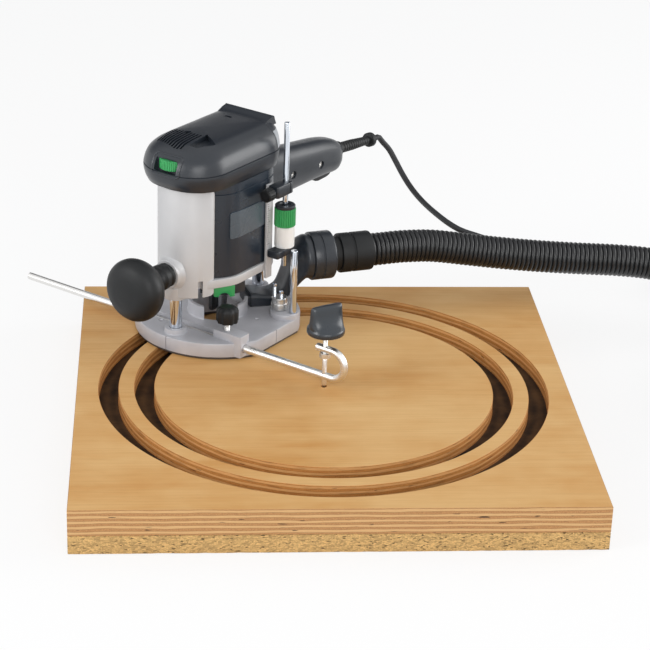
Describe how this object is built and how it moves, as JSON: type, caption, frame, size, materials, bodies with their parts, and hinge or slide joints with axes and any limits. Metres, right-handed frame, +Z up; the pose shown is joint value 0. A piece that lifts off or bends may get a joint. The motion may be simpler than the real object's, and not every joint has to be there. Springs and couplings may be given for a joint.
{
  "type": "router circle cutting jig",
  "caption": "Plunge router on a hooked trammel rod that turns about a pin in a plywood panel with cut ring grooves, with its suction hose and mains cord.",
  "frame": {"origin": "underside of the backing board, right below the pivot pin", "axes": "+Z up, +X along the board's front edge to the right, +Y to the board's back edge; at rest the router stands over the inner groove, back and left of the pin"},
  "size_m": [1.175, 0.7057, 0.279],
  "materials": {
    "chipboard": "raw chipboard, rough sawn edge",
    "birch_plywood": "sanded face veneer, bare layered edge",
    "bright_steel": "bright drawn steel",
    "chromed_steel": "polished hard chrome",
    "cast_aluminium": "die cast, fine blasted",
    "painted_aluminium": "silver paint, satin",
    "phenolic_sheet": "flat phenolic sheet",
    "black_abs": "fine grained moulding",
    "black_rubber": "moulded rubber",
    "hose_plastic": "ribbed soft plastic",
    "cord_rubber": "round rubber sheath",
    "green_plastic": "bright green moulding",
    "white_plastic": "white moulding",
    "wound_copper": "varnished windings",
    "carbide_steel": "ground cutter steel",
    "label_plastic": "bare dark plate"
  },
  "bodies": {
    "board": {"backing_board": "chipboard", "grooved_panel": "birch_plywood"},
    "trammel": {"trammel_rod": "bright_steel"},
    "pivot": {"pivot_knob": "black_rubber", "pivot_pin": "bright_steel", "pin_lock_nut": "bright_steel"},
    "base": {"base_casting": "cast_aluminium", "base_sole": "phenolic_sheet", "left_column": "chromed_steel", "right_column": "chromed_steel", "plunge_spring": "bright_steel", "stop_post": "chromed_steel", "dust_duct": "black_abs", "port_collar": "black_abs", "hose_cuff": "black_rubber", "suction_hose": "hose_plastic", "suction_hose_coil": "hose_plastic", "hose_end_cuff": "black_rubber", "mains_cord": "cord_rubber", "mains_cord_coil": "cord_rubber", "mains_plug": "black_rubber"},
    "rod_clamp": {"rod_clamp_knob": "black_rubber", "rod_clamp_screw": "bright_steel"},
    "turret": {"stop_turret": "cast_aluminium", "long_stop_screw": "chromed_steel", "short_stop_screw": "chromed_steel"},
    "motor": {"motor_bracket": "painted_aluminium", "motor_housing": "black_abs", "label_plate": "label_plastic", "field_stator": "bright_steel", "bearing_plate": "cast_aluminium", "lower_bearing": "bright_steel", "upper_bearing": "bright_steel", "top_cap": "black_abs", "rear_cover": "black_abs", "handle_front_half": "black_abs", "handle_back_half": "black_abs", "handle_screw_inner": "bright_steel", "handle_screw_outer": "bright_steel", "cord_boot": "black_rubber", "depth_rail": "cast_aluminium", "rod_holder": "black_abs", "adjuster_sleeve": "white_plastic", "lock_guard": "black_abs"},
    "spindle": {"spindle_shaft": "bright_steel", "armature": "wound_copper", "cooling_fan": "black_abs", "collet_nut": "bright_steel", "collet": "bright_steel", "router_bit": "carbide_steel"},
    "plunge_lock": {"ball_knob": "black_rubber"},
    "dial": {"speed_dial": "green_plastic"},
    "switch": {"trigger": "black_abs"},
    "stop_rod": {"depth_rod": "chromed_steel"},
    "adjuster": {"fine_adjust_knob": "green_plastic"},
    "stop_clamp": {"depth_clamp_knob": "black_abs"},
    "spindle_lock": {"spindle_lock_button": "green_plastic"}
  },
  "joints": [
    {"name": "swing", "type": "hinge", "parent": "board", "child": "trammel", "pos_m": [0, 0, 0.046], "axis": [0, 0, 1], "continuous": true},
    {"name": "pivot_knob_turn", "type": "hinge", "parent": "trammel", "child": "pivot", "pos_m": [0, 0, 0.116], "axis": [0, 0, 1], "continuous": true},
    {"name": "radius_slide", "type": "slide", "parent": "trammel", "child": "base", "axis": [0.7771, -0.6293, 0], "range_m": [-0.037, 0.08]},
    {"name": "rod_clamp_turn", "type": "hinge", "parent": "base", "child": "rod_clamp", "pos_m": [-0.09636, 0.07803, 0.082], "axis": [0, 0, 1], "range_deg": [-180, 180]},
    {"name": "turret_turn", "type": "hinge", "parent": "base", "child": "turret", "pos_m": [-0.03908, 0.13845, 0.0703], "axis": [0, 0, 1], "continuous": true},
    {"name": "plunge", "type": "slide", "parent": "base", "child": "motor", "axis": [0, 0, 1], "range_m": [-0.034, 0.02], "deforming": ["plunge_spring", "mains_cord"]},
    {"name": "spindle_spin", "type": "hinge", "parent": "motor", "child": "spindle", "pos_m": [-0.10453, 0.14899, 0.1255], "axis": [0, 0, 1], "continuous": true},
    {"name": "plunge_lock_turn", "type": "hinge", "parent": "motor", "child": "plunge_lock", "pos_m": [-0.15947, 0.08114, 0.134], "axis": [-0.6293, -0.7771, 0], "range_deg": [-45, 45]},
    {"name": "dial_turn", "type": "hinge", "parent": "motor", "child": "dial", "pos_m": [-0.1511, 0.09148, 0.2535], "axis": [0, 0, 1], "range_deg": [0, 300]},
    {"name": "trigger_press", "type": "slide", "parent": "motor", "child": "switch", "axis": [0, 0, 1], "range_m": [0, 0.003], "stiffness_N_per_m": 400},
    {"name": "stop_rod_slide", "type": "slide", "parent": "motor", "child": "stop_rod", "axis": [0, 0, -1], "range_m": [-0.03, 0.03]},
    {"name": "fine_adjust_turn", "type": "hinge", "parent": "motor", "child": "adjuster", "pos_m": [-0.03523, 0.14241, 0.1648], "axis": [0, 0, 1], "continuous": true},
    {"name": "stop_clamp_turn", "type": "hinge", "parent": "motor", "child": "stop_clamp", "pos_m": [-0.04328, 0.13246, 0.2075], "axis": [-0.6293, -0.7771, 0], "range_deg": [-180, 180]},
    {"name": "spindle_lock_press", "type": "slide", "parent": "motor", "child": "spindle_lock", "axis": [-0.1045, 0.9945, 0], "range_m": [0, 0.003], "stiffness_N_per_m": 400}
  ]
}
